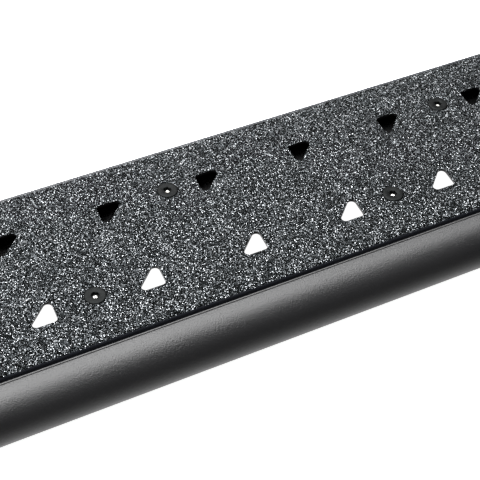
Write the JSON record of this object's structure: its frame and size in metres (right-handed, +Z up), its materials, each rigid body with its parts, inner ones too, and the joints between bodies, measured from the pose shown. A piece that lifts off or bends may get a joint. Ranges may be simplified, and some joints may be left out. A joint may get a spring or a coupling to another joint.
{
  "type": "running board",
  "caption": "Straight truck running board with a grit-coated tread, triangular drain holes, countersunk screws, a half-round nose, end caps and sliding sill brackets.",
  "frame": {"origin": "under the middle of the whole object, on the surface that its brackets stand on", "axes": "+X along the board, +Y towards the vehicle, +Z up"},
  "size_m": [1.9, 0.2238, 0.1153],
  "materials": {
    "grit_coat": "coarse anti-slip grit coat on aluminium plate",
    "satin_black": "satin black powder coat on aluminium",
    "frame_black": "matt black powder coat on aluminium",
    "bracket_black": "satin black powder coat on steel",
    "screw_black": "black oxide",
    "moulded_black": "fine moulded texture",
    "zinc_steel": "bright zinc plate"
  },
  "bodies": {
    "board": {"tread_plate": "grit_coat", "nose_rail": "satin_black", "rear_rail": "frame_black", "cross_rib_1": "frame_black", "front_tread_screw_1": "screw_black", "rear_tread_screw_1": "screw_black", "cross_rib_2": "frame_black", "front_tread_screw_2": "screw_black", "rear_tread_screw_2": "screw_black", "cross_rib_3": "frame_black", "front_tread_screw_3": "screw_black", "rear_tread_screw_3": "screw_black", "cross_rib_4": "frame_black", "front_tread_screw_4": "screw_black", "rear_tread_screw_4": "screw_black", "cross_rib_5": "frame_black", "front_tread_screw_5": "screw_black", "rear_tread_screw_5": "screw_black", "cross_rib_6": "frame_black", "front_tread_screw_6": "screw_black", "rear_tread_screw_6": "screw_black", "cross_rib_7": "frame_black", "front_tread_screw_7": "screw_black", "rear_tread_screw_7": "screw_black", "cross_rib_8": "frame_black", "front_tread_screw_8": "screw_black", "rear_tread_screw_8": "screw_black", "end_cap_left": "moulded_black", "end_cap_screw_left_front": "screw_black", "end_cap_screw_left_rear": "screw_black", "end_cap_right": "moulded_black", "end_cap_screw_right_front": "screw_black", "end_cap_screw_right_rear": "screw_black"},
    "bracket_left": {"sill_bracket_left": "bracket_black", "t_bolt_left_front": "zinc_steel", "flange_nut_left_front": "zinc_steel", "t_bolt_left_rear": "zinc_steel", "flange_nut_left_rear": "zinc_steel"},
    "bracket_centre": {"sill_bracket_centre": "bracket_black", "t_bolt_centre_front": "zinc_steel", "flange_nut_centre_front": "zinc_steel", "t_bolt_centre_rear": "zinc_steel", "flange_nut_centre_rear": "zinc_steel"},
    "bracket_right": {"sill_bracket_right": "bracket_black", "t_bolt_right_front": "zinc_steel", "flange_nut_right_front": "zinc_steel", "t_bolt_right_rear": "zinc_steel", "flange_nut_right_rear": "zinc_steel"}
  },
  "joints": [
    {"name": "bracket_left_slide", "type": "slide", "parent": "board", "child": "bracket_left", "axis": [1, 0, 0], "range_m": [-0.1, 0.1]},
    {"name": "bracket_centre_slide", "type": "slide", "parent": "board", "child": "bracket_centre", "axis": [1, 0, 0], "range_m": [-0.1, 0.1]},
    {"name": "bracket_right_slide", "type": "slide", "parent": "board", "child": "bracket_right", "axis": [1, 0, 0], "range_m": [-0.1, 0.1]}
  ]
}
